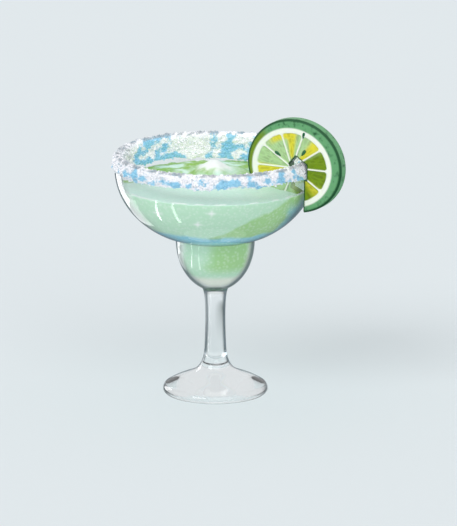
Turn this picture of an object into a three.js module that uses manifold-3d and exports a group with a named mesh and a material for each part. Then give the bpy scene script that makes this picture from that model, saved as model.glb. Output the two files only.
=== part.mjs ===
// A frozen margarita: a stepped glass on a stem, filled with slush, with a salted rim and a lime wheel.
// Millimetres, +Z up. The origin is the middle of the foot's underside, and -Y faces the viewer.
import * as THREE from 'three';
import { ParametricGeometry } from 'three/addons/geometries/ParametricGeometry.js';
import { mergeVertices } from 'three/addons/utils/BufferGeometryUtils.js';
import Module from 'manifold-3d';

const wasm = await Module();
wasm.setup();

// Glass
const glassTurns = 54; // facets round the glass
const wellSteps = 5; // steps up the inside of the well
const bowlSteps = 7; // and up the upper bowl
const footRadius = 32.1;
const footEdge = 5.3; // height of the foot's thick edge
const stemFoot = 27; // height where the foot's dome has become the stem
const stemTop = 64;
const stemRadius = 6.7;
const stemTopRadius = 7.4;
const wellRadius = 24.1; // small lower bowl, outside
const wellFloor = 72.6; // inside, on the axis
const neckHeight = 96.4; // where the well meets the upper bowl
const bowlRadius = 61.2; // widest, outside
const bowlWidest = 139.6; // height of the widest circle
const wall = 2.9;
const lipHeight = 146.6; // where the lip starts to round over
const lipOuter = 60;
const lipInner = 57.1;
const lipRound = 2.2; // how far the lip's curve is pulled up, which puts its top at about 148

// Slush
const slushTurns = 48;
const slushLevel = 131.6; // at the wall
const slushGap = 0.3; // clearance to the glass and the lime
const slushRings = 10; // circles of points across the top
const heapHeight = 3.4; // how far the middle is heaped above the wall
const swirlDepth = 1.1; // ridge of the spiral left by the pour
const swirlPitch = 19; // radial distance from one ridge to the next
const peakAt = [-1, 12]; // soft peak a little behind the middle
const peakHeight = 7.6;
const peakSpread = 7.5;

// Salt crust on the rim. Its path runs up from the widest circle, over the lip and down inside.
const crustTurns = 72;
const crustSkin = 7; // steps across the crust's outer skin
const crustBend = 4; // steps of its back round the lip's bend
const crustOutside = 2.8; // mean start along the path
const crustInside = 7.5; // mean end, measured back from the path's end
const crustLean = 4.4; // how much further down it reaches inside at the back, and less in front
const crustGap = 0.3; // clearance to the glass
const crustDepth = 1.5; // thickness over the lip
const crustHem = 0.7; // thickness at its edges
const crustRagged = 1.3; // how far the edges wander
const crustBump = 0.35;
const crystalCount = 64;
const crystalRoot = 0.2; // a crystal's lowest corner above the crust's back
const crystalSize = [1.3, 2.1]; // edge length
const crystalSeed = 11;
const crystalFree = 8; // degrees kept clear on each side of the lime

// Lime wheel, modelled upright in the XZ plane and then turned to its place on the rim
const limeAzimuth = -27; // degrees from +X
const limeRadial = 55.1; // from the glass axis to the wheel's middle
const limeHeight = 148.2;
const limeHalfWidth = 31.5; // the wheel is a little wider than tall
const limeHalfHeight = 28.8;
const limeThick = 7.5;
const wedges = 10; // wedges of flesh, with one membrane pointing straight out
const wedgeSteps = 6; // points round each wedge
const coreEdge = 0.1; // shares of the radius
const fleshEdge = 0.79;
const pithEdge = 0.89;
const rindRound = 1.5; // rounded edge between face and rind
const fleshSink = 0.55; // the flesh lies below pith and membranes
const pipPlaces = [[-11, 6.7, -1], [6.2, 19.5, -1], [6.2, 8.7, -1], [-4, 14.5, 1], [12.5, 9, 1]];
const pipSize = [2.3, 1.3, 0.9]; // half length, half width, half height

// The slit that straddles the rim, as radius and height
const slitInner = 51.8;
const slitOuter = 61.7; // beside the bare glass
const slitSalt = 63.5; // beside the salt
const slitStep = 140.2; // height where it widens for the salt outside
const slitLedge = 134.6; // and inside
const slitShoulder = 149.6; // where it begins to close
const slitPeak = [56, 154.5];
const slitFoot = 112; // below the wheel
const slitGap = 0.45; // clearance to the wall inside the glass

// Points of a curve in the plane of radius and height
function curve(steps, ...corners) {
  const [a, b, c, d] = corners.map(([r, z]) => new THREE.Vector2(r, z));
  return new THREE.CubicBezierCurve(a, b, c, d).getPoints(steps);
}

// Runs of points as one outline, with the points where they meet kept once
function joined(...runs) {
  const same = (p, q) => p !== undefined && p.distanceTo(q) < 1e-6;
  return runs.flat().reduce((all, p) => (same(all.at(-1), p) ? all : [...all, p]), []);
}

// The outline moved to its left, as seen along it
function shifted(outline, distance) {
  return outline.map((p, i) => {
    const next = outline[Math.min(i + 1, outline.length - 1)];
    const along = next.clone().sub(outline[Math.max(i - 1, 0)]).normalize();
    return p.clone().add(new THREE.Vector2(-along.y, along.x).multiplyScalar(distance));
  });
}

// Turns an outline round the Z axis
function turned(outline, turns) {
  return new THREE.LatheGeometry(outline, turns).rotateX(Math.PI / 2);
}

function toSolid(geometry) {
  const bare = geometry.clone();
  bare.deleteAttribute('normal');
  bare.deleteAttribute('uv');
  const merged = mergeVertices(bare, 1e-4);
  const corners = Uint32Array.from(merged.index.array);
  const mesh = { numProp: 3, vertProperties: Float32Array.from(merged.attributes.position.array) };
  const solid = new wasm.Manifold(new wasm.Mesh({ ...mesh, triVerts: corners }));
  if (solid.volume() > 0) return solid;
  return new wasm.Manifold(new wasm.Mesh({ ...mesh, triVerts: corners.reverse() }));
}

function toGeometry(solid) {
  const mesh = solid.getMesh();
  const geometry = new THREE.BufferGeometry();
  geometry.setAttribute('position', new THREE.BufferAttribute(mesh.vertProperties, 3));
  geometry.setIndex(new THREE.BufferAttribute(mesh.triVerts, 1));
  geometry.computeVertexNormals();
  return geometry;
}

// The largest body, without loose scraps
function largest(solid) {
  return solid.decompose().reduce((a, b) => (a.volume() > b.volume() ? a : b));
}

function piece(name, solid, colour, roughness, opacity = 1) {
  const material = new THREE.MeshStandardMaterial({
    color: colour, roughness, metalness: 0, opacity, transparent: opacity < 1,
  });
  const mesh = new THREE.Mesh(toGeometry(solid), material);
  mesh.name = name;
  return mesh;
}

// Seeded random numbers from 0 to 1
function dice(seed) {
  let state = seed;
  return () => {
    state = (state * 1664525 + 1013904223) % 4294967296;
    return state / 4294967296;
  };
}

// A smooth wander round the circle, between about -1 and 1
function wander(angle, phase) {
  return 0.5 * Math.sin(5 * angle + phase) + 0.3 * Math.sin(11 * angle + 2.3 * phase)
    + 0.25 * Math.sin(23 * angle + 4.1 * phase);
}

// Inside of the well, from its floor up to the neck
function wellInside() {
  const r = wellRadius - wall;
  return curve(wellSteps, [0, wellFloor], [13, wellFloor], [r, 81], [r, neckHeight + 0.6]);
}

// Inside of the upper bowl, from the ledge at the neck up to the widest circle
function bowlInside() {
  return curve(bowlSteps, [26.4, 101], [37.4, 103.8], [57.4, 116.8], [bowlRadius - wall, bowlWidest]);
}

// The lip's three stretches: up the outside, over the top and down the inside
const lipStretches = [
  [[bowlRadius, bowlWidest], [61.4, 142.4], [60.7, 144.8], [lipOuter, lipHeight]],
  [[lipOuter, lipHeight], [59.5, lipHeight + lipRound], [57.6, lipHeight + lipRound], [lipInner, lipHeight]],
  [[lipInner, lipHeight], [57.5, 144.2], [bowlRadius - wall, 142], [bowlRadius - wall, bowlWidest]],
];

function glassOutline() {
  return joined(
    [new THREE.Vector2(0, 0)],
    curve(3, [footRadius - 1.9, 0], [32.9, 0], [32.7, 4], [footRadius - 2.1, footEdge]),
    curve(4, [footRadius - 2.1, footEdge], [17.1, 13.1], [8, 10], [stemRadius, stemFoot]),
    curve(3, [stemRadius, stemFoot], [5.7, 44.2], [5.9, 60], [stemTopRadius, stemTop]),
    curve(5, [8.6, 66], [13, 67.9], [wellRadius, 76.3], [wellRadius, neckHeight]),
    curve(bowlSteps, [27.2, 98.2], [39, 101.4], [60.4, 115.4], [bowlRadius, bowlWidest]),
    lipStretches.map((corners) => curve(2, ...corners)).flat(),
    bowlInside().reverse(),
    wellInside().reverse(),
  );
}

function makeGlass() {
  return toSolid(turned(glassOutline(), glassTurns));
}

// Height of the slush above its level at the wall
function slushHeap(x, y, brim) {
  const r = Math.hypot(x, y);
  const inward = THREE.MathUtils.smoothstep(brim - r, 0, 0.45 * brim);
  const spiral = Math.cos(Math.atan2(y, x) - 2 * Math.PI * r / swirlPitch);
  const away = (x - peakAt[0]) ** 2 + (y - peakAt[1]) ** 2;
  const calm = 1 - Math.exp(-away / peakSpread ** 2);
  const peak = peakHeight * Math.exp(-away / (2 * peakSpread ** 2));
  return inward * (heapHeight + swirlDepth * spiral * calm) + peak;
}

// Slush fills the glass up to its level, with the wall's outline moved in by the gap
function makeSlush(limeSpace) {
  const inside = shifted(joined(wellInside(), bowlInside()), slushGap);
  const side = inside.filter((p) => p.y < slushLevel);
  const above = inside[side.length];
  const share = (slushLevel - side.at(-1).y) / (above.y - side.at(-1).y);
  const brim = THREE.MathUtils.lerp(side.at(-1).x, above.x, share);
  const top = Array.from({ length: slushRings + 1 }, (_, i) => (
    new THREE.Vector2(brim * (1 - i / slushRings), slushLevel)));
  const body = turned([new THREE.Vector2(0, side[0].y), ...side.slice(1), ...top], slushTurns);
  const at = body.attributes.position;
  for (let i = 0; i < at.count; i += 1) {
    const onTop = at.getZ(i) > slushLevel - 0.01;
    if (onTop) at.setZ(i, slushLevel + slushHeap(at.getX(i), at.getY(i), brim));
  }
  return largest(toSolid(body).subtract(limeSpace));
}

// The crust's path, and the shares of its length where the bend over the lip begins and ends
const crustPath = new THREE.CurvePath();
lipStretches.forEach((corners) => crustPath.add(
  new THREE.CubicBezierCurve(...corners.map(([r, z]) => new THREE.Vector2(r, z))),
));
crustPath.add(new THREE.LineCurve(...bowlInside().slice(-2).reverse()));
const pathLength = crustPath.getLength();
const [bendStart, bendEnd] = crustPath.getCurveLengths().map((length) => length / pathLength);

// Where the crust's ragged edges lie on the path at an angle, outside and inside
function crustEdges(angle) {
  const outside = crustOutside + crustRagged * wander(angle, 1.7);
  const inside = crustInside - crustLean * Math.sin(angle) + crustRagged * wander(angle, 4.4);
  return [outside / pathLength, 1 - inside / pathLength];
}

// A point at a distance from the path
function overLip(t, angle, distance) {
  const [before, after] = [crustPath.getPoint(t - 0.005), crustPath.getPoint(t + 0.005)];
  const outwards = new THREE.Vector2(after.y - before.y, before.x - after.x).normalize();
  const { x: r, y: z } = crustPath.getPoint(t).addScaledVector(outwards, distance);
  return new THREE.Vector3(r * Math.cos(angle), r * Math.sin(angle), z);
}

function crustThickness(share) {
  return crustHem + (crustDepth - crustHem) * Math.sin(Math.PI * share) ** 0.7;
}

// The bare crust: an uneven skin over the lip, closed by a smooth back along the glass
function crustCore(random) {
  const skinShares = Array.from({ length: crustSkin + 1 }, (_, i) => i / crustSkin);
  const bend = Array.from({ length: crustBend + 1 }, (_, i) => (
    THREE.MathUtils.lerp(bendEnd, bendStart, i / crustBend)));
  const rows = skinShares.length + bend.length + 2;
  const bumps = Array.from({ length: rows * crustTurns }, () => crustBump * (2 * random() - 1));
  const section = (u, v, target) => {
    const row = Math.round(u * rows) % rows;
    const turn = Math.round(v * crustTurns) % crustTurns;
    const angle = 2 * Math.PI * turn / crustTurns;
    const [start, end] = crustEdges(angle);
    if (row > crustSkin) {
      const back = [end, ...bend, start][row - skinShares.length];
      target.copy(overLip(back, angle, crustGap));
      return;
    }
    const bump = row > 0 && row < crustSkin ? bumps[row * crustTurns + turn] : 0;
    const depth = crustGap + crustThickness(skinShares[row]) + bump;
    target.copy(overLip(THREE.MathUtils.lerp(start, end, skinShares[row]), angle, depth));
  };
  return toSolid(new ParametricGeometry(section, rows, crustTurns));
}

// Coarse crystals, spread evenly round the rim, with their lowest corners in the crust
function crystal(index, random) {
  const size = THREE.MathUtils.lerp(...crystalSize, random());
  const angle = 2 * Math.PI * (index + random()) / crystalCount;
  const t = THREE.MathUtils.lerp(...crustEdges(angle), 0.12 + 0.76 * random());
  const box = new THREE.BoxGeometry(size, size * (0.7 + 0.3 * random()), size);
  box.rotateX(6 * random()).rotateY(6 * random()).rotateZ(6 * random());
  const base = overLip(t, angle, crustGap + crystalRoot);
  const outwards = overLip(t, angle, crustGap + crystalRoot + 1).sub(base);
  const corner = new THREE.Vector3();
  const depths = Array.from({ length: box.attributes.position.count }, (_, i) => (
    corner.fromBufferAttribute(box.attributes.position, i).dot(outwards)));
  const at = base.addScaledVector(outwards, -Math.min(...depths));
  return { solid: toSolid(box.translate(at.x, at.y, at.z)), angle };
}

function makeCrust() {
  const random = dice(crystalSeed);
  const core = crustCore(random);
  const lime = THREE.MathUtils.degToRad(limeAzimuth);
  const grains = Array.from({ length: crystalCount }, (_, i) => crystal(i, random))
    .filter(({ angle }) => Math.cos(angle - lime) < Math.cos(THREE.MathUtils.degToRad(crystalFree)));
  return largest(grains.reduce((all, { solid }) => all.add(solid), core));
}

// Half the wheel's thickness at a point of its face, with the flesh sunk between its membranes
function limeFace(share, step, half) {
  const membrane = step % wedgeSteps === 0;
  const flesh = share > coreEdge && share < fleshEdge && !membrane;
  return half - (flesh ? fleshSink : 0);
}

// A disc with a rounded rind. A plain one, grown by the gap, is the space that the slush leaves free.
function limeDisc(grow, relief) {
  const half = limeThick / 2 + grow;
  const [wide, tall] = [limeHalfWidth + grow, limeHalfHeight + grow];
  const round = rindRound / limeHalfWidth;
  const shares = relief
    ? [0, coreEdge, 0.13, 0.34, 0.56, fleshEdge - 0.03, fleshEdge, pithEdge, 1 - round]
    : [0, 1 - round];
  const face = shares.map((share) => [share, -1]);
  const rim = [[1 - 0.3 * round, half - 0.3 * rindRound], [1, half - rindRound]];
  const edge = [...rim.map(([share, y]) => [share, -1, y]), ...rim.reverse().map(([share, y]) => [share, 1, y])];
  const rows = [...face, ...edge, ...face.slice().reverse().map(([share]) => [share, 1])];
  const turns = wedges * wedgeSteps;
  const section = (u, v, target) => {
    const [share, side, fixed] = rows[Math.round(u * (rows.length - 1))];
    const step = Math.round(v * turns) % turns;
    const angle = 2 * Math.PI * step / turns;
    const y = fixed ?? (relief ? limeFace(share, step, half) : half);
    target.set(share * wide * Math.cos(angle), side * y, share * tall * Math.sin(angle));
  };
  return toSolid(new ParametricGeometry(section, rows.length - 1, turns));
}

// A pip lies half in the flesh and points at the wheel's middle
function limePip([x, z, side]) {
  const body = new THREE.SphereGeometry(1, 8, 6).scale(pipSize[0], pipSize[2], pipSize[1]);
  body.rotateY(-Math.atan2(z, x)).translate(x, side * (limeThick / 2 - fleshSink), z);
  return toSolid(body);
}

// The space of wall and salt that the wheel's slit leaves free, closed to a point above the rim
function slitSpace() {
  const inside = shifted(bowlInside(), slitGap).filter((p) => p.y > slitFoot && p.y < slitLedge - 1);
  const free = [
    [slitInner, slitLedge], [slitInner, slitShoulder], slitPeak, [slitSalt, slitShoulder],
    [slitSalt, slitStep], [slitOuter, slitStep], [slitOuter, slitFoot],
  ].map(([r, z]) => new THREE.Vector2(r, z));
  return toSolid(turned([...inside, ...free, inside[0]], crustTurns));
}

function makeLime() {
  const wheel = pipPlaces.reduce((all, place) => all.add(limePip(place)), limeDisc(0, true));
  return largest(wheel.translate([limeRadial, 0, limeHeight]).subtract(slitSpace()));
}

function limeSpace() {
  return limeDisc(slushGap, false).translate([limeRadial, 0, limeHeight]).rotate([0, 0, limeAzimuth]);
}

const parts = new THREE.Group();
parts.add(piece('glass', makeGlass(), 0xe6efee, 0.05, 0.35));
parts.add(piece('drink', makeSlush(limeSpace()), 0xbadcb9, 0.45));
parts.add(piece('salt_rim', makeCrust(), 0xf0f5f6, 0.8));
const lime = piece('lime_wheel', makeLime(), 0x8fb04a, 0.5);
lime.rotation.z = THREE.MathUtils.degToRad(limeAzimuth);
parts.add(lime);
export default parts;
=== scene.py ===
import math
import random

import bpy
import numpy as np
from mathutils import Matrix, Vector, geometry, noise


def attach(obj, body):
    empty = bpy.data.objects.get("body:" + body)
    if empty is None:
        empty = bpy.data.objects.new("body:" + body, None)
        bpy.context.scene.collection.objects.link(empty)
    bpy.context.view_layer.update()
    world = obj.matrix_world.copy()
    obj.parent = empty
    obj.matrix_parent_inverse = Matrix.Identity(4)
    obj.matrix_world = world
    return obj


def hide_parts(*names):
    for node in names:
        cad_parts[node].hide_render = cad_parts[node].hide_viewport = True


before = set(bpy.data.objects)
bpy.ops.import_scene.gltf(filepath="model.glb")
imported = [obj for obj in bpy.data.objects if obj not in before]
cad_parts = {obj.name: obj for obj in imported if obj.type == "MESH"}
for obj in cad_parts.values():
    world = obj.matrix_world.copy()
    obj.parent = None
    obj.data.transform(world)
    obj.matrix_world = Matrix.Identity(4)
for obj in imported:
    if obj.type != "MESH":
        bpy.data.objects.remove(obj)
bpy.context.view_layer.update()  # a frozen margarita in metres, standing on its foot, -Y towards the viewer
print("frame loaded")

colourMix = {"data_type": "RGBA"}  # share in input 0, colours in 6 and 7, and the mix in output 2
softRamp = {"interpolation_type": "SMOOTHSTEP"}


def mm(value):
    return value / 1000


def lin(hexText):  # sRGB hex to linear red, green, blue, alpha
    parts = [int(hexText[i:i + 2], 16) / 255 for i in (1, 3, 5)]
    return (*[p / 12.92 if p <= 0.04045 else ((p + 0.055) / 1.055) ** 2.4 for p in parts], 1)


def smooth(low, high, value):  # 0 at low, 1 at high, a soft step between
    t = np.clip((value - low) / (high - low), 0, 1)
    return t * t * (3 - 2 * t)


# A node with its settings, and each input as a number, a colour or another node's output
def addNode(tree, kind, settings=None, inputs=None, output=0):
    node = tree.nodes.new("ShaderNode" + kind)
    for name, value in (settings or {}).items():
        setattr(node, name, value)
    for socket, value in (inputs or {}).items():
        if isinstance(value, bpy.types.NodeSocket):
            tree.links.new(value, node.inputs[socket])
        else:
            node.inputs[socket].default_value = value
    return node.outputs[output] if node.outputs else None


def startMaterial(name):
    material = bpy.data.materials.new(name)
    material.use_nodes = True
    material.node_tree.nodes.clear()
    return material, material.node_tree


def deselectAll():
    if bpy.context.object and bpy.context.object.mode != "OBJECT":
        bpy.ops.object.mode_set(mode="OBJECT")
    bpy.ops.object.select_all(action="DESELECT")


def pick(piece):
    deselectAll()
    piece.select_set(True)
    bpy.context.view_layer.objects.active = piece


def editAll(piece):
    pick(piece)
    bpy.ops.object.mode_set(mode="EDIT")
    bpy.ops.mesh.select_all(action="SELECT")


def applyModifier(piece, kind, **settings):
    pick(piece)
    modifier = piece.modifiers.new(kind.title(), kind)
    for name, value in settings.items():
        setattr(modifier, name, value)
    bpy.ops.object.modifier_apply(modifier=modifier.name)


# Points on a run of curves, each given by its steps and four corners of radius and height in mm
def alongCurves(runs):
    points = []
    for steps, corners in runs:
        a, b, c, d = [Vector((mm(r), 0, mm(z))) for r, z in corners]
        run = geometry.interpolate_bezier(a, b, c, d, steps + 1)
        points += run[1:] if points and (run[0] - points[-1]).length < mm(0.001) else run
    return points


# A point is extruded along the outline, as a wire that can be spun
def traceOutline(name, points):
    deselectAll()
    bpy.ops.mesh.primitive_plane_add(size=mm(1), location=points[0])
    wire = bpy.context.object
    wire.name = wire.data.name = name
    editAll(wire)
    bpy.ops.mesh.merge(type="CENTER")
    for here, after in zip(points, points[1:]):
        bpy.ops.mesh.extrude_region_move(TRANSFORM_OT_translate={"value": after - here})
    bpy.ops.object.mode_set(mode="OBJECT")
    bpy.ops.object.transform_apply(location=True)
    return wire


def spinWire(wire, steps, axis=(0, 0, 1)):
    editAll(wire)
    bpy.ops.mesh.spin(steps=steps, angle=2 * math.pi, center=(0, 0, 0), axis=axis)
    bpy.ops.mesh.select_all(action="SELECT")
    bpy.ops.mesh.remove_doubles(threshold=mm(0.004))
    bpy.ops.mesh.normals_make_consistent(inside=False)
    bpy.ops.object.mode_set(mode="OBJECT")


def getPoints(piece):  # in mm
    places = np.empty(len(piece.data.vertices) * 3)
    piece.data.vertices.foreach_get("co", places)
    return places.reshape(-1, 3) * 1000


def setPoints(piece, points):
    piece.data.vertices.foreach_set("co", (points / 1000).astype(np.float32).ravel())
    piece.data.update()


def storeShare(piece, name, values):
    layer = piece.data.attributes.new(name, "FLOAT", "POINT")
    layer.data.foreach_set("value", np.clip(values, 0, 1).astype(np.float32))


def finishPiece(piece, material, replaced=(), flat=False):
    pick(piece)
    piece.data.materials.clear()
    piece.data.materials.append(material)
    shade = bpy.ops.object.shade_flat if flat else bpy.ops.object.shade_smooth
    shade()
    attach(piece, "root")
    if replaced:
        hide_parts(*replaced)


# Clear glass: foot, stem, well and upper bowl in one blown and pressed body

glassLook = {
    "turns": 160,
    "roughness": 0.012,
    "clear": "#fbfdfd",
    # painted grey shade for the edges, seen edge-on
    "edge": "#414c52",
    # Share of facing away where the painted grey shade of the edges begins, by height: foot, stem, its top,
    # well, bowl
    "edgeShadeStart": ((4.5, 0.45), (6, 0.74), (13, 0.7), (20, 0.3), (26, 0.2), (64, 0.2), (65, 0.02),
                  (66.2, 0.02), (69, 0.42), (96, 0.42), (99, 0.67), (109, 0.67), (117, 0.54)),
    "edgeShadeSpan": 0.26,
}
wellInside = (16, [(0, 72.6), (13, 72.6), (21.2, 81), (21.2, 97)])
ledgeInside = (6, [(21.2, 97), (21.2, 99.6), (23.4, 100.2), (26.4, 101)])
bowlInside = (26, [(26.4, 101), (37.4, 103.8), (57.4, 116.8), (58.3, 139.6)])
lipRuns = [
    (8, [(61.2, 139.6), (61.4, 142.4), (60.7, 144.8), (60, 146.6)]),
    (10, [(60, 146.6), (59.5, 148.8), (57.6, 148.8), (57.1, 146.6)]),
    (8, [(57.1, 146.6), (57.5, 144.2), (58.3, 142), (58.3, 139.6)]),
]


def reverseRun(run, finer=1):
    return run[0] * finer, run[1][::-1]


def makeGlassMaterial():  # soda-lime glass, fire polished: clear, with a painted grey shade where seen edge-on
    material, tree = startMaterial("sodaLimeGlass")
    facing = addNode(tree, "LayerWeight", inputs={"Blend": 0.5}, output=1)
    start = addNode(tree, "Attribute", {"attribute_name": "edgeShadeStart"}, output=2)
    full = addNode(tree, "Math", {"operation": "ADD"}, {0: start, 1: glassLook["edgeShadeSpan"]})
    edge = addNode(tree, "MapRange", softRamp, {"Value": facing, "From Min": start, "From Max": full})
    tone = addNode(tree, "Mix", colourMix, {
        0: edge, 6: lin(glassLook["clear"]), 7: lin(glassLook["edge"])}, 2)
    surface = addNode(tree, "BsdfPrincipled", inputs={
        "Base Color": tone, "Roughness": glassLook["roughness"], "IOR": 1.52, "Transmission Weight": 1})
    addNode(tree, "OutputMaterial", inputs={"Surface": surface})
    return material


def makeGlass():
    runs = [
        (1, [(0, 0), (10, 0), (20, 0), (30.2, 0)]),
        (12, [(30.2, 0), (32.9, 0), (32.7, 4), (30, 5.3)]),
        (18, [(30, 5.3), (17.1, 13.1), (8, 10), (6.7, 27)]),
        (12, [(6.7, 27), (5.7, 44.2), (5.9, 60), (7.4, 64)]),
        (4, [(7.4, 64), (7.7, 65), (8, 65.7), (8.6, 66)]),
        (18, [(8.6, 66), (13, 67.9), (24.1, 76.3), (24.1, 96.4)]),
        (5, [(24.1, 96.4), (24.2, 97.7), (25.4, 97.8), (27.2, 98.2)]),
        (26, [(27.2, 98.2), (39, 101.4), (60.4, 115.4), (61.2, 139.6)]),
        *lipRuns, reverseRun(bowlInside), reverseRun(ledgeInside), reverseRun(wellInside),
    ]
    glass = traceOutline("glassBody", alongCurves(runs))
    spinWire(glass, glassLook["turns"])
    storeShare(glass, "edgeShadeStart", np.interp(getPoints(glass)[:, 2], *zip(*glassLook["edgeShadeStart"])))
    finishPiece(glass, makeGlassMaterial(), ["glass"])
    glass.visible_shadow = glass.visible_diffuse = False  # clear glass lets the light through to the drink


makeGlass()
print("glass made")

# Slush: blended ice and lime juice, poured in with a spiral and a soft peak

slushLook = {
    "turns": 96,
    "level": 131.6,  # at the wall
    "intoWall": 0.25,
    "voxel": 0.75,
    "heapHeight": 3.4,
    "swirlDepth": 1.1,
    "swirlPitch": 19,
    "peakAt": (-1, 12),
    "peakHeight": 7.6,
    "peakSpread": 7.5,
    "froth": 1.2,  # width of the broken line of froth at the wall
    "climb": 0.8,
    "dashes": 9,  # how often the froth breaks
    "granule": 0.34,
    "granuleSizes": (2.3, 5.1),  # mm across the granules on top, and across their clumps
    "grain": 2.1,  # mm across the paler grains
    "clouds": (13, 5),  # mm across the wide and the narrow waves that make its zones of colour uneven
    "acrossLine": (0.443, -0.897),  # across the line, rising to the right, below which it is greener and darker: painted shade
    "fades": {  # mm between which each zone of colour sets in, along that direction or in height
        "line": (-99, -97), "green": (77, 84), "cream": (78, 74.5), "well": (98, 94),
        "ledge": (109.5, 107), "ledgeFoot": (98, 100), "patch": (132, 121), "patchFoot": (99, 103),
    },
    "clearAt": (8, 10),  # a place beside the peak where the top isn't green
    "clearSpread": (8, 10),
    "paintedGlints": [(-33.7, 123.7), (-2, 126.2), (-10.2, 118.5)],  # painted glints: small white stars on the front of the slush
    "paintedGlintRays": (2.3, 2, 0.8),  # mm: how far they reach sideways and upright, and how wide they are
    "mint": "#c3e8cc",
    "rightShadeGreen": "#abd898",
    "surfaceMint": "#d2f0e0",
    "surfaceGreen": "#8abc4e",
    "frostAndHighlight": "#f4fbf5",
    "cream": "#eef0e2",
    # painted blue reflection, round the ledge and along the right side
    "blueReflection": "#94d6e6",
}


def makeSlushMaterial():  # crushed ice in juice: milky, wet, with paler grains and a soft glow
    look = slushLook
    material, tree = startMaterial("limeSlush")
    place = addNode(tree, "TexCoord", output=3)
    body = lin(look["mint"])
    # Zones of colour, among them painted shade, a painted blue reflection and painted highlights
    for zone in ("rightShadeGreen", "blueReflection", "cream", "surfaceMint", "surfaceGreen", "frostAndHighlight"):
        share = addNode(tree, "Attribute", {"attribute_name": zone}, output=2)
        body = addNode(tree, "Mix", colourMix, {0: share, 6: body, 7: lin(look[zone])}, 2)
    grain = addNode(tree, "TexVoronoi", inputs={"Vector": place, "Scale": 1 / mm(look["grain"])})
    fleck = addNode(tree, "MapRange", inputs={
        "Value": grain, "From Min": 0.1, "From Max": 0.5, "To Min": 0.3, "To Max": 0.0})
    body = addNode(tree, "Mix", colourMix, {0: fleck, 6: body, 7: lin(look["frostAndHighlight"])}, 2)
    bump = addNode(tree, "Bump", inputs={"Height": grain, "Strength": 0.3, "Distance": mm(0.5)})
    surface = addNode(tree, "BsdfPrincipled", inputs={
        "Base Color": body, "Normal": bump, "Roughness": 0.34, "IOR": 1.34, "Subsurface Weight": 0.3,
        "Subsurface Radius": (0.9, 1.0, 0.85), "Subsurface Scale": mm(3)})
    addNode(tree, "OutputMaterial", inputs={"Surface": surface})
    return material


# Where the slush takes its green, painted shade, painted blue reflection, pale zones and painted glints, as
# shares on its points
def storeColourZones(slush, onTop, white):
    look, fades = slushLook, slushLook["fades"]
    points = getPoints(slush)
    x, y, z = points.T
    wide, narrow = look["clouds"]
    cloud = np.array([noise.noise(Vector(p) / wide) + 0.4 * noise.noise(Vector(p) / narrow) for p in points])
    toRight = x / np.maximum(np.hypot(x, y), 1)  # 1 on the right side, -1 on the left
    acrossX, acrossZ = look["acrossLine"]
    # Painted shade: greener and darker below a line, on the right side
    belowLine = smooth(*fades["line"], acrossX * x + acrossZ * z + 2 * cloud)
    rightShadeGreen = belowLine * smooth(-8, 3, x + 3 * cloud) * smooth(*fades["green"], z)
    # Painted blue reflection: a band round the ledge, and a patch along the right side
    ledge = smooth(*fades["ledge"], z + 1.5 * cloud) * smooth(*fades["ledgeFoot"], z)
    patch = smooth(0.72, 0.93, toRight + 0.16 * cloud) * smooth(*fades["patchFoot"], z)
    patch *= smooth(*fades["patch"], z + 6 * cloud)
    # Painted highlight: paler along the left side; also paler at the right of the well
    pale = smooth(0.78, 0.96, -toRight + 0.12 * cloud)
    pale += smooth(*fades["well"], z) * smooth(0.8, 0.95, toRight)
    # Painted glints: small white stars, in front only
    paintedGlints = np.zeros(len(points))
    sideways, upright, width = look["paintedGlintRays"]
    for across, height in look["paintedGlints"]:
        u, v = np.abs(x - across), np.abs(z - height)
        star = np.maximum(np.exp(-(u / sideways) ** 2 - (v / width) ** 2),
                          np.exp(-(u / width) ** 2 - (v / upright) ** 2))
        paintedGlints += np.where(y < 0, star, 0)
    inFront = smooth(6, -6, y + 8 * cloud)
    clearX, clearY = look["clearAt"]
    spreadX, spreadY = look["clearSpread"]
    besidePeak = np.exp(-((x - clearX) / spreadX) ** 2 - ((y - clearY) / spreadY) ** 2)
    surfaceGreen = onTop * (1 - np.maximum(inFront, besidePeak)) * smooth(-0.5, -0.1, cloud)
    storeShare(slush, "rightShadeGreen", rightShadeGreen)
    storeShare(slush, "blueReflection", np.maximum(ledge, 0.9 * patch))
    storeShare(slush, "cream", smooth(*fades["cream"], z))
    storeShare(slush, "surfaceMint", onTop)
    storeShare(slush, "surfaceGreen", surfaceGreen)
    storeShare(slush, "frostAndHighlight", np.maximum(white, np.maximum(0.75 * pale, paintedGlints) * (1 - onTop)))


def slushHeap(x, y, brim):  # mm above the level at the wall, and the peak's share of it
    look = slushLook
    r = np.hypot(x, y)
    inward = smooth(0, 0.45 * brim, brim - r)
    spiral = np.cos(np.arctan2(y, x) - 2 * np.pi * r / look["swirlPitch"])
    away = (x - look["peakAt"][0]) ** 2 + (y - look["peakAt"][1]) ** 2
    calm = 1 - np.exp(-away / look["peakSpread"] ** 2)
    peak = look["peakHeight"] * np.exp(-away / (2 * look["peakSpread"] ** 2))
    return inward * (look["heapHeight"] + look["swirlDepth"] * spiral * calm) + peak, peak


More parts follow.
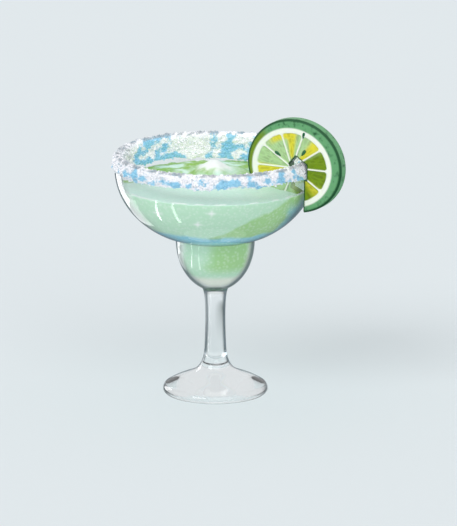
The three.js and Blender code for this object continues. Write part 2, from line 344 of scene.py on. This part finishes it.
def makeSlush():
    look = slushLook
    slush = traceOutline("limeSlush", alongCurves([wellInside, ledgeInside, bowlInside]))
    spinWire(slush, look["turns"])
    editAll(slush)
    bpy.ops.transform.shrink_fatten(value=mm(look["intoWall"]))
    bpy.ops.mesh.bisect(plane_co=(0, 0, mm(look["level"])), plane_no=(0, 0, 1),
                        use_fill=True, clear_outer=True)
    bpy.ops.mesh.select_all(action="SELECT")
    bpy.ops.mesh.normals_make_consistent(inside=False)
    bpy.ops.object.mode_set(mode="OBJECT")
    applyModifier(slush, "REMESH", mode="VOXEL", voxel_size=mm(look["voxel"]))
    points = getPoints(slush)
    x, y, z = points.T
    r = np.hypot(x, y)
    brim = r[z > look["level"] - 0.5].max()
    onTop = smooth(look["level"] - 0.6, look["level"] - 0.1, z)
    heap, peak = slushHeap(x, y, brim)
    fine, dashes = np.zeros(len(points)), np.zeros(len(points))
    granule, clump = look["granuleSizes"]
    for i in np.flatnonzero(onTop > 0):
        spot = Vector((x[i], y[i], 0))
        fine[i] = 0.55 - noise.voronoi(spot / granule)[0][0] + 0.9 * noise.noise(spot / clump)
        dashes[i] = noise.noise(spot.normalized() * look["dashes"])
    edge = smooth(brim - look["froth"], brim - 0.3, r) * smooth(-0.12, 0.12, dashes)
    z += onTop * (heap + look["granule"] * fine + edge * look["climb"])
    setPoints(slush, points)
    storeColourZones(slush, onTop, onTop * (smooth(1.6, 4.6, peak + 1.5 * fine) + edge))
    finishPiece(slush, makeSlushMaterial(), ["drink"])


makeSlush()
print("slush made")

# Salt: a moist crust over the lip, with loose coarse crystals stuck into it

saltLook = {
    "turns": 260,
    "depth": 1.4,
    "intoGlass": 0.15,
    "outside": 142.4,  # mean height of its lower edge outside the glass
    "inside": 138.1,  # and inside, where it reaches lower at the back and less low in front
    "lean": 4.5,
    "lowest": 132.2,
    "ragged": 1.3,
    "voxel": 0.5,
    "bump": 0.42,
    "bumpWidth": 1.5,
    "grain": 0.9,  # mm across the flakes in its material
    "crystals": 9000,
    "crystalSize": (0.5, 1.6),
    "slip": 0.7,  # mm that a crystal may lie to each side of its place
    "sunk": 0.2,  # and above or below the crust
    "patch": 5.5,  # mm across its patches of painted blue shade
    "blueShadeReach": 4.6,  # how far above its lower edges the painted blue shade reaches
    "blueShadeSides": (132, 70),  # degrees where the painted blue shade is strongest inside
    "fray": 1.3,  # mm across the frays of its patches
    "lipTop": (148.4, 149.2),  # heights between which the painted grey shade along the lip sets in
    "glowRadii": (59.4, 57.6),  # radii between which the painted glow sets in, towards the inside of the glass
    "seed": 4,
    "white": "#fdfbff",
    "paintedGlow": (0.02, 0.13),  # painted glow: least outside the glass, most inside it
    # painted blue shade, in patches near its lower edges
    "blueShade": "#98d0ea",
    "dull": "#c3cfd6",
    "shade": "#a0a7ad",  # painted grey shade along the lip and in the hollow at its left end
}
lipMiddle = (58.6, 144)  # radius and height in the middle of the glass's lip
sortMiddle = (59.6, 142)  # the same a little lower, for the order of the crust's faces


def wanderRound(angle, phase):  # a smooth wander round the circle, between about -1 and 1
    return (0.5 * np.sin(5 * angle + phase) + 0.3 * np.sin(11 * angle + 2.3 * phase)
            + 0.25 * np.sin(23 * angle + 4.1 * phase))


def isOutside(points):
    return np.hypot(points[:, 0], points[:, 1]) > lipMiddle[0]


def saltHem(points):  # height of the crust's lower edge below or above each point
    look = saltLook
    angle = np.arctan2(points[:, 1], points[:, 0])
    inside = look["inside"] - look["lean"] * np.sin(angle) + look["ragged"] * wanderRound(angle, 4.4)
    return np.where(isOutside(points), look["outside"] + look["ragged"] * wanderRound(angle, 1.7), inside)


def makeSaltMaterial():  # coarse salt: white flakes, a little clear, with painted blue and grey shade and a faint painted glow
    look = saltLook
    material, tree = startMaterial("coarseSalt")
    place = addNode(tree, "TexCoord", output=3)
    tone = lin(look["white"])
    for zone in ("dull", "blueShade", "shade"):
        share = addNode(tree, "Attribute", {"attribute_name": zone}, output=2)
        tone = addNode(tree, "Mix", colourMix, {0: share, 6: tone, 7: lin(look[zone])}, 2)
    # Painted light: the crust glows a little in its own colour, most inside the glass
    paintedGlowShare = addNode(tree, "Attribute", {"attribute_name": "paintedGlowShare"}, output=2)
    least, most = look["paintedGlow"]
    paintedGlow = addNode(tree, "MapRange", inputs={"Value": paintedGlowShare, "To Min": least, "To Max": most})
    grain = addNode(tree, "TexVoronoi", inputs={"Vector": place, "Scale": 1 / mm(look["grain"])})
    bump = addNode(tree, "Bump", inputs={"Height": grain, "Strength": 0.5, "Distance": mm(0.25)})
    surface = addNode(tree, "BsdfPrincipled", inputs={
        "Base Color": tone, "Normal": bump, "Roughness": 0.42, "IOR": 1.54, "Subsurface Weight": 0.25,
        "Subsurface Radius": (1, 1, 1), "Subsurface Scale": mm(1),
        "Emission Color": tone, "Emission Strength": paintedGlow})
    addNode(tree, "OutputMaterial", inputs={"Surface": surface})
    return material


# Where the crust takes painted blue shade, painted grey shade along the lip and at its left end, a dull
# tone, and its painted glow, by a number from 0 to 1 for each point
def storeShadeGlowAndTone(piece, luck):
    look = saltLook
    points = getPoints(piece)
    angle = np.arctan2(points[:, 1], points[:, 0])
    outside = isOutside(points)
    above = points[:, 2] - saltHem(points)
    patch = np.array([noise.noise(Vector(p) / look["patch"]) for p in points])
    fray = np.array([noise.noise(Vector(p) / look["fray"]) for p in points])
    nearest = np.max([np.cos(angle - math.radians(middle)) for middle in look["blueShadeSides"]], axis=0)
    inside = 0.62 * smooth(0.88, 0.98, nearest) - 0.56
    leftEnd = smooth(0.86, 0.94, -np.cos(angle))
    reach = 0.45 * smooth(look["blueShadeReach"], 1.5, above) + np.where(outside, -0.24 - 0.3 * leftEnd, inside)
    storeShare(piece, "blueShade", smooth(0, 0.2, patch + 0.25 * fray + reach))
    # Painted shade: grey dashes along the top of the lip, and in the hollow at the inner left end
    onLip = smooth(*look["lipTop"], points[:, 2]) * smooth(-0.15, 0.1, patch + 0.3 * fray)
    hollow = np.where(outside, 0, leftEnd) * smooth(-0.1, 0.25, fray)
    storeShare(piece, "shade", 0.8 * np.maximum(onLip, hollow))
    storeShare(piece, "dull", luck ** 3 * np.where(outside, 1, 0.8))
    storeShare(piece, "paintedGlowShare", smooth(*look["glowRadii"], np.hypot(points[:, 0], points[:, 1])))


def makeSaltSkin():
    look = saltLook
    runs = [(steps * 2, corners) for steps, corners in lipRuns] + [reverseRun(bowlInside, finer=4)]
    skin = traceOutline("saltCrust", [p for p in alongCurves(runs) if p.z > mm(look["lowest"])])
    spinWire(skin, look["turns"])
    points = getPoints(skin)
    low = points[:, 2] < saltHem(points)
    editAll(skin)
    bpy.ops.mesh.select_all(action="DESELECT")
    bpy.ops.object.mode_set(mode="OBJECT")
    lipRadius, lipHeight = mm(lipMiddle[0]), mm(lipMiddle[1])
    inwards = 0
    for face in skin.data.polygons:
        face.select = all(low[i] for i in face.vertices)
        centre, normal = face.center, face.normal
        r = math.hypot(centre.x, centre.y)
        side = normal.x * centre.x + normal.y * centre.y
        inwards += (r - lipRadius) * side / r + (centre.z - lipHeight) * normal.z < 0
    bpy.ops.object.mode_set(mode="EDIT")
    bpy.ops.mesh.delete(type="FACE")
    if inwards > len(low) / 2:  # an open strip has no inside, so it may have been turned the wrong way
        bpy.ops.mesh.select_all(action="SELECT")
        bpy.ops.mesh.flip_normals()
    bpy.ops.object.mode_set(mode="OBJECT")
    return skin


# A face's turn and its place across the lip, to sort by: Blender's own order can differ between runs
def placeOnRim(face):
    radius, height = sortMiddle
    r = math.hypot(face.center.x, face.center.y)
    turn = math.atan2(face.center.y, face.center.x) / (2 * math.pi)
    return math.floor(turn * saltLook["turns"]), math.atan2(face.center.z - mm(height), r - mm(radius))


def makeCrystals(skin):
    look = saltLook
    dice = random.Random(look["seed"])
    faces = sorted(skin.data.polygons, key=placeOnRim)
    places = [(f.center.copy(), f.normal.copy()) for f in faces]
    chosen = dice.choices(places, [f.area for f in faces], k=look["crystals"])
    small, large = look["crystalSize"]
    cube = [Vector((x, y, z)) for x in (-1, 1) for y in (-1, 1) for z in (-1, 1)]
    sides = [(0, 1, 3, 2), (4, 6, 7, 5), (0, 4, 5, 1), (2, 3, 7, 6), (0, 2, 6, 4), (1, 5, 7, 3)]
    corners, squares = [], []
    for centre, normal in chosen:
        size = mm(small + (large - small) * dice.random() ** 2.5)
        slip = Vector([dice.uniform(-1, 1) for _ in range(3)]) * mm(look["slip"])
        slip -= normal * slip.dot(normal)
        spot = centre + slip + normal * mm(look["depth"] + dice.uniform(-look["sunk"], look["sunk"]))
        axis = Vector([dice.gauss(0, 1) for _ in range(3)]).normalized()
        turn = Vector((0, 0, 1)).rotation_difference(axis).to_matrix()
        shape = Matrix.Diagonal(Vector((1, dice.uniform(0.6, 1), dice.uniform(0.45, 1))) * size / 2)
        start = len(corners)
        corners += [spot + turn @ (shape @ corner) for corner in cube]
        squares += [[start + i for i in side] for side in sides]
    mesh = bpy.data.meshes.new("saltCrystals")
    mesh.from_pydata(corners, [], squares)
    crystals = bpy.data.objects.new("saltCrystals", mesh)
    bpy.context.scene.collection.objects.link(crystals)
    return crystals


def makeSalt():
    look = saltLook
    skin = makeSaltSkin()
    crystals = makeCrystals(skin)
    whole = look["depth"] + look["intoGlass"]
    applyModifier(skin, "SOLIDIFY", thickness=mm(whole), offset=1 - 2 * look["intoGlass"] / whole)
    applyModifier(skin, "REMESH", mode="VOXEL", voxel_size=mm(look["voxel"]))
    normals = np.empty(len(skin.data.vertices) * 3)
    skin.data.vertices.foreach_get("normal", normals)
    points = getPoints(skin)
    push = np.array([0.5 - noise.voronoi(Vector(p) / look["bumpWidth"])[0][0] for p in points])
    setPoints(skin, points + normals.reshape(-1, 3) * (look["bump"] * push)[:, None])
    storeShadeGlowAndTone(skin, 0.5 * push + 0.5)
    eachCrystal = np.random.default_rng(look["seed"]).random(look["crystals"])
    storeShadeGlowAndTone(crystals, np.repeat(eachCrystal, 8))  # the same at its eight corners
    material = makeSaltMaterial()
    finishPiece(skin, material, ["salt_rim"])
    finishPiece(crystals, material, flat=True)


makeSalt()
print("salt made")

# Lime wheel: a fresh slice pushed onto the rim, its slit straddling the glass

limeLook = {
    "azimuth": -27,
    "radial": 55.1,
    "height": 148.2,
    "halfWidth": 31.5,
    "halfHeight": 28.8,
    "halfThick": 3.75,
    "turns": 320,
    "wedges": 10,
    "middle": (-1.4, -1.1),  # of flesh and pith, and their radii, on a wheel of radius 30
    "core": 2.2,
    "flesh": 22.2,
    "pith": 25.1,
    "membrane": 0.75,
    "corner": 1.8,
    "sink": 0.5,
    "bulge": 0.28,
    "sacRelief": 0.25,
    "sacs": (5.2, 9.5),  # mm along a sac of juice, and how many lie side by side in a radian
    # The slit, as radius from the glass's axis and height: down inside the glass, then outside it
    "slitInside": [(51.8, 134.6), (51.8, 149.6)],
    "slitOutside": [(56, 154.5), (63.5, 149.6), (63.5, 140.2), (61.7, 140.2), (61.7, 112)],
    "slitGap": 0.45,
    "slitTurns": 180,
    "cutShade": 0.9,  # width of the painted dark shade along the cut
    "fleshShade": ((262, 285), (44, 26)),  # degrees over which the painted shade of the outer half sets in, on either side
    "oliveRind": ((120, 140), (240, 220)),
    # Yellow parts: degrees, half their width, sharpness, strength, and the radii over which they begin
    "yellowParts": [(91, 9, 4, 1, (4, 8)), (46, 10, 4, 1, (0, 0.01)), (188, 11, 4, 1, (0, 0.01)),
                    (316, 9, 2, 0.7, (0, 0.01)), (112, 20, 4, 1, (17, 20))],
    "skin": ((28.1, 29.1), (2.2, 3)),  # radii, and distances from its middle plane, over which it darkens
    "paleJuice": "#a5c58c",
    "yellowJuice": "#d0c834",
    "shadedJuice": "#6d8a10",
    "pithWhite": "#f3f7ea",
    "rind": "#68a672",
    "rindDark": "#14502a",
    "rindOlive": "#72901c",
    "pip": "#2f7d50",
    "pipPlaces": [(-11, 6.7, -1), (6.2, 19.5, -1), (6.2, 8.7, -1), (-4, 14.5, 1), (12.5, 9, 1)],
    "pipSize": (2.3, 0.9, 1.3),
    "pipTaper": 0.28,
    "pipSunk": 0.35,
}
limeRadius = 30
sliceRun = [
    (60, [(0, -3.75), (9.5, -3.75), (19, -3.75), (28.5, -3.75)]),
    (6, [(28.5, -3.75), (29.4, -3.75), (30, -3.1), (30, -2.25)]),
    (10, [(30, -2.25), (30, -0.8), (30, 0.8), (30, 2.25)]),
    (6, [(30, 2.25), (30, 3.1), (29.4, 3.75), (28.5, 3.75)]),
    (60, [(28.5, 3.75), (19, 3.75), (9.5, 3.75), (0, 3.75)]),
]


def fleshPolar(x, z):  # radius and angle from the middle of the flesh
    x, z = x - limeLook["middle"][0], z - limeLook["middle"][1]
    return np.hypot(x, z), np.arctan2(z, x)


def fleshDepth(r, angle):  # mm inside the rounded outline of its wedge of flesh
    look = limeLook
    step = 2 * np.pi / look["wedges"]
    off = np.abs((angle / step) % 1 - 0.5) * step
    side = r * np.sin(step / 2 - off) - look["membrane"] / 2
    outer = look["flesh"] - r
    corner = look["corner"]
    rounded = corner - np.hypot(np.maximum(corner - side, 0), np.maximum(corner - outer, 0))
    return np.minimum(rounded, r - look["core"])


def juiceSacs(r, angle, face):  # 0 on the skins between long sacs that point at the middle
    length, density = limeLook["sacs"]
    bend = noise.noise(Vector((r * math.cos(angle), r * math.sin(angle), 7 * face)) / 6)
    near = noise.voronoi(Vector((r / length + bend, angle * density + 3 * face, 0)))[0]
    return near[1] - near[0]


def fromCut(points):  # mm from the slit's outline above and outside the rim, in the wheel's plane
    line = [*limeLook["slitInside"][1:], *limeLook["slitOutside"]]
    spots = points[:, [0, 2]]
    distances = []
    for here, after in zip(np.array(line[:-1]), np.array(line[1:])):
        run = after - here
        share = np.clip((spots - here) @ run / (run @ run), 0, 1)
        distances.append(np.hypot(*(spots - here - share[:, None] * run).T))
    return np.min(distances, axis=0)


def storeZones(wheel):
    look = limeLook
    points = getPoints(wheel)
    x = (points[:, 0] - look["radial"]) * limeRadius / look["halfWidth"]
    z = (points[:, 2] - look["height"]) * limeRadius / look["halfHeight"]
    r, angle = fleshPolar(x, z)
    degrees = np.degrees(angle) % 360
    flesh = smooth(-0.1, 0.35, fleshDepth(r, angle))
    # Painted shade: the outer half of the flesh turns olive; on the rind, olive on the inner side
    oliveShadeAndRind = np.maximum(*[smooth(*side, degrees) for side in look["fleshShade"]])
    rind = smooth(look["pith"] - 0.3, look["pith"] + 0.7, r)
    oliveRind = np.prod([smooth(*side, degrees) for side in look["oliveRind"]], axis=0)
    oliveShadeAndRind = np.where(rind > 0, oliveRind, oliveShadeAndRind)
    yellow = np.zeros(len(points))
    for middle, width, sharpness, strength, begins in look["yellowParts"]:
        yellow += strength * smooth(*begins, r) * np.exp(-((degrees - middle) / width) ** sharpness)
    edge, face = look["skin"]
    skin = smooth(*edge, np.hypot(x, z)) * smooth(*face, np.abs(points[:, 1]))
    # Painted shade: a dark band along the slit's cut edges
    cut = smooth(look["cutShade"], 0.4 * look["cutShade"], fromCut(points))
    dark = np.maximum(skin, cut)
    sacs = np.zeros(len(points))
    for i in np.flatnonzero(flesh > 0):
        sacs[i] = juiceSacs(r[i], angle[i], 1 if points[i, 1] > 0 else -1)
    zones = {"flesh": flesh, "oliveShadeAndRind": oliveShadeAndRind, "yellow": yellow, "rind": rind, "dark": dark, "sacs": sacs}
    for name, values in zones.items():
        storeShare(wheel, name, values)


def makeLimeMaterial():  # fresh lime: waxy pored zest, dry white pith, wet juice sacs, with painted shade on the outer half of the flesh and along the slit
    look = limeLook
    material, tree = startMaterial("freshLime")
    place = addNode(tree, "TexCoord", output=3)
    flesh, oliveShadeAndRind, yellow, rind, dark, sacs = [
        addNode(tree, "Attribute", {"attribute_name": name}, output=2)
        for name in ("flesh", "oliveShadeAndRind", "yellow", "rind", "dark", "sacs")]
    juice = lin(look["paleJuice"])
    # The outer half of the flesh takes painted shade in olive
    for share, colour in ((oliveShadeAndRind, "shadedJuice"), (yellow, "yellowJuice")):
        juice = addNode(tree, "Mix", colourMix, {0: share, 6: juice, 7: lin(look[colour])}, 2)
    light = addNode(tree, "MapRange", inputs={
        "Value": sacs, "From Min": 0.0, "From Max": 0.5, "To Min": 1.25, "To Max": 0.9})
    juice = addNode(tree, "HueSaturation", inputs={"Value": light, "Color": juice})
    speck = addNode(tree, "TexNoise", inputs={"Vector": place, "Scale": 1 / mm(3), "Detail": 3})
    speck = addNode(tree, "MapRange", softRamp, {"Value": speck, "From Min": 0.2, "From Max": 0.52})
    zest = addNode(tree, "Mix", colourMix, {0: speck, 6: lin(look["rindDark"]), 7: lin(look["rind"])}, 2)
    zest = addNode(tree, "Mix", colourMix, {0: oliveShadeAndRind, 6: zest, 7: lin(look["rindOlive"])}, 2)
    cut = addNode(tree, "Mix", colourMix, {0: rind, 6: lin(look["pithWhite"]), 7: zest}, 2)
    whole = addNode(tree, "Mix", colourMix, {0: flesh, 6: cut, 7: juice}, 2)
    whole = addNode(tree, "Mix", colourMix, {0: dark, 6: whole, 7: lin(look["rindDark"])}, 2)
    pore = addNode(tree, "TexVoronoi", inputs={"Vector": place, "Scale": 1 / mm(1.3)})
    bump = addNode(tree, "Bump", inputs={"Height": pore, "Strength": 0.25, "Distance": mm(0.3)})
    gloss = addNode(tree, "MapRange", inputs={"Value": flesh, "To Min": 0.42, "To Max": 0.2})
    surface = addNode(tree, "BsdfPrincipled", inputs={
        "Base Color": whole, "Roughness": gloss, "Normal": bump, "IOR": 1.38, "Subsurface Weight": 0.2,
        "Subsurface Radius": (0.9, 1, 0.4), "Subsurface Scale": mm(2)})
    addNode(tree, "OutputMaterial", inputs={"Surface": surface})
    return material


def makeSlitCutter():  # a ring with the slit's outline
    look = limeLook
    foot, ledge = look["slitOutside"][-1][1], look["slitInside"][0][1]
    wall = [Vector((p.x - mm(look["slitGap"]), 0, p.z)) for p in alongCurves([bowlInside])]
    wall = [p for p in wall if mm(foot) < p.z < mm(ledge - 1)]
    free = [Vector((mm(r), 0, mm(z))) for r, z in look["slitInside"] + look["slitOutside"]]
    cutter = traceOutline("slitCutter", [*wall, *free, wall[0]])
    spinWire(cutter, look["slitTurns"])
    return cutter


def turnToRim(piece):
    piece.rotation_euler.z = math.radians(limeLook["azimuth"])
    pick(piece)
    bpy.ops.object.transform_apply(location=True, rotation=True, scale=True)


def makeWheel():
    look = limeLook
    wheel = traceOutline("limeWheel", [Vector((p.x, p.z, 0)) for p in alongCurves(sliceRun)])
    spinWire(wheel, look["turns"], axis=(0, 1, 0))
    points = getPoints(wheel)
    x, y, z = points.T
    r, angle = fleshPolar(x, z)
    onFace = np.abs(y) > look["halfThick"] - 0.01
    depth = fleshDepth(r, angle)
    relief = look["sink"] * smooth(-0.2, 0.5, depth) - look["bulge"] * smooth(0.3, 3, depth)
    for i in np.flatnonzero(onFace & (depth > 0)):
        relief[i] += look["sacRelief"] * (0.5 - min(juiceSacs(r[i], angle[i], np.sign(y[i])), 0.5))
    y -= np.sign(y) * np.where(onFace, relief, 0)
    x *= look["halfWidth"] / limeRadius
    z *= look["halfHeight"] / limeRadius
    setPoints(wheel, points + (look["radial"], 0, look["height"]))
    cutter = makeSlitCutter()
    applyModifier(wheel, "BOOLEAN", object=cutter, operation="DIFFERENCE", solver="EXACT")
    bpy.data.objects.remove(cutter)
    storeZones(wheel)
    turnToRim(wheel)
    finishPiece(wheel, makeLimeMaterial(), ["lime_wheel"])


def makePipMaterial():  # lime pips: smooth, wet seed coats
    material, tree = startMaterial("limePip")
    place = addNode(tree, "TexCoord", output=3)
    streak = addNode(tree, "TexNoise", inputs={"Vector": place, "Scale": 1 / mm(0.8)})
    streak = addNode(tree, "MapRange", softRamp, {"Value": streak, "From Min": 0.3, "From Max": 0.8})
    dark, green = lin(limeLook["rindDark"]), lin(limeLook["pip"])
    coat = addNode(tree, "Mix", colourMix, {0: streak, 6: dark, 7: green}, 2)
    surface = addNode(tree, "BsdfPrincipled", inputs={"Base Color": coat, "Roughness": 0.2, "IOR": 1.45})
    addNode(tree, "OutputMaterial", inputs={"Surface": surface})
    return material


def makePips():
    look = limeLook
    pips = []
    for x, z, side in look["pipPlaces"]:
        deselectAll()
        bpy.ops.mesh.primitive_uv_sphere_add(segments=20, ring_count=14, radius=mm(1))
        pip = bpy.context.object
        points = getPoints(pip) * look["pipSize"]
        taper = 1 - look["pipTaper"] * (1 - points[:, 0] / look["pipSize"][0])
        points[:, 1:] *= taper[:, None]  # the pointed end faces the wheel's middle
        setPoints(pip, points)
        pip.rotation_euler.y = -math.atan2(z, x)
        fromMiddle = side * (look["halfThick"] - look["pipSunk"])
        pip.location = (mm(look["radial"] + x), mm(fromMiddle), mm(look["height"] + z))
        turn = Matrix.Rotation(math.radians(look["azimuth"]), 4, "Z")
        pip.data.transform(turn @ pip.matrix_basis)
        pip.matrix_basis = Matrix()
        pips.append(pip)
    deselectAll()
    for pip in pips:
        pip.select_set(True)
    bpy.context.view_layer.objects.active = pips[0]
    bpy.ops.object.join()
    pips[0].name = pips[0].data.name = "limePips"
    finishPiece(pips[0], makePipMaterial())


makeWheel()
makePips()
print("lime made")

# Floor, light and camera

studio = {
    "floor": "#dfe4e6",
    "floorSize": 12,  # metres
    "floorDrop": 0.1,  # mm below the foot, so that the two never share a place
    "distance": 3000,
    "elevation": 14.5,
    "aim": (8.05, 0, 80.83),
    "frameHeight": 320.9,  # mm seen from top to bottom at the aim
    "sensor": 36,
    "world": "#f1f4f6",
    "worldStrength": 0.85,
    "suns": {"sun": (0.7, (48, 0, -42), 28), "fill": (0.65, (52, 0, 12), 50)},  # strength, turn and spread
    # Lamps that only glossy surfaces see: place, size, power and turn
    "glossLamps": {
        "bowlStreak": ((-170, -46, 3), (148, 10), 0.034, (180, 0, 32.6)),
        "wellStreak": ((-120, -98, 3), (135, 10), 0.022, (180, 0, 45)),
        "edgeStrip": ((-175, 175, 75), (90, 150), 0.12, (90, 0, -135)),
        "lowStrip": ((-160, 150, 2), (130, 150), 0.09, (180, 0, 0)),
    },
    # Shades just above the floor: the glass sees the ring in its reflections, and the other through itself
    "shadeLift": 1,
    "ringShade": "#868f94",
    "ringRadii": (50, 800),
    "ringTurns": 64,
    "stemShade": "#8f9897",
    "stemShadeAt": (-130, 195),
    "stemShadeSize": (290, 300),
}


def paintMatte(thing, material, tree, tone):  # dull paint, on the floor and on its shades
    surface = addNode(tree, "BsdfPrincipled", inputs={
        "Base Color": tone, "Roughness": 0.9, "Specular IOR Level": 0})
    addNode(tree, "OutputMaterial", inputs={"Surface": surface})
    thing.data.materials.append(material)


def makeFloor():
    deselectAll()
    bpy.ops.mesh.primitive_plane_add(size=studio["floorSize"], location=(0, 0, -mm(studio["floorDrop"])))
    floor = bpy.context.object
    floor.name = "studioFloor"
    material, tree = startMaterial("paleFloor")
    paintMatte(floor, material, tree, lin(studio["floor"]))


def makeRingShade():
    lift = mm(studio["shadeLift"])
    ring = traceOutline("ringShade", [Vector((mm(r), 0, lift)) for r in studio["ringRadii"]])
    spinWire(ring, studio["ringTurns"])
    material, tree = startMaterial("ringShade")
    paintMatte(ring, material, tree, lin(studio["ringShade"]))
    ring.visible_camera = ring.visible_diffuse = ring.visible_shadow = ring.visible_transmission = False


def makeStemShade():  # a cloud that is darkest in its middle
    deselectAll()
    x, y = studio["stemShadeAt"]
    width, depth = studio["stemShadeSize"]
    bpy.ops.mesh.primitive_plane_add(size=1, location=(mm(x), mm(y), mm(studio["shadeLift"])))
    shade = bpy.context.object
    shade.name = "stemShade"
    shade.scale = (mm(width), mm(depth), 1)
    material, tree = startMaterial("stemShade")
    place = addNode(tree, "TexCoord", output=3)
    wide = addNode(tree, "Mapping", inputs={"Vector": place, "Scale": (2, 2, 0)})
    middle = addNode(tree, "TexGradient", {"gradient_type": "SPHERICAL"}, {"Vector": wide}, 1)
    pale, dark = lin(studio["floor"]), lin(studio["stemShade"])
    tone = addNode(tree, "Mix", colourMix, {0: middle, 6: pale, 7: dark}, 2)
    paintMatte(shade, material, tree, tone)
    shade.visible_camera = shade.visible_diffuse = shade.visible_shadow = shade.visible_glossy = False


def makeGlossLamp(name, place, size, power, turn):
    bpy.ops.object.light_add(type="AREA", location=[mm(v) for v in place],
                             rotation=[math.radians(a) for a in turn])
    lamp = bpy.context.object
    lamp.name = name
    lamp.data.shape = "RECTANGLE"
    lamp.data.size, lamp.data.size_y = mm(size[0]), mm(size[1])
    lamp.data.energy = power
    lamp.visible_camera = lamp.visible_diffuse = lamp.visible_transmission = False


def makeLights():
    world = bpy.data.worlds.new("softRoom")
    bpy.context.scene.world = world
    world.use_nodes = True
    back = world.node_tree.nodes["Background"]
    back.inputs["Color"].default_value = lin(studio["world"])
    back.inputs["Strength"].default_value = studio["worldStrength"]
    for name, (strength, turn, spread) in studio["suns"].items():
        bpy.ops.object.light_add(type="SUN", rotation=[math.radians(a) for a in turn])
        bpy.context.object.name = name
        bpy.context.object.data.energy = strength
        bpy.context.object.data.angle = math.radians(spread)
    for name, values in studio["glossLamps"].items():
        makeGlossLamp(name, *values)


def makeCamera():
    aim = Vector([mm(v) for v in studio["aim"]])
    lift = math.radians(studio["elevation"])
    back = Vector((0, -math.cos(lift), math.sin(lift))) * mm(studio["distance"])
    bpy.ops.object.camera_add(location=aim + back)
    camera = bpy.context.object
    camera.rotation_euler = (-back).to_track_quat("-Z", "Y").to_euler()
    camera.data.sensor_width = studio["sensor"]
    camera.data.lens = studio["sensor"] * studio["distance"] / studio["frameHeight"]
    bpy.context.scene.camera = camera


makeFloor()
makeRingShade()
makeStemShade()
makeLights()
makeCamera()
bpy.context.scene.view_settings.view_transform = "Standard"
print("studio made")
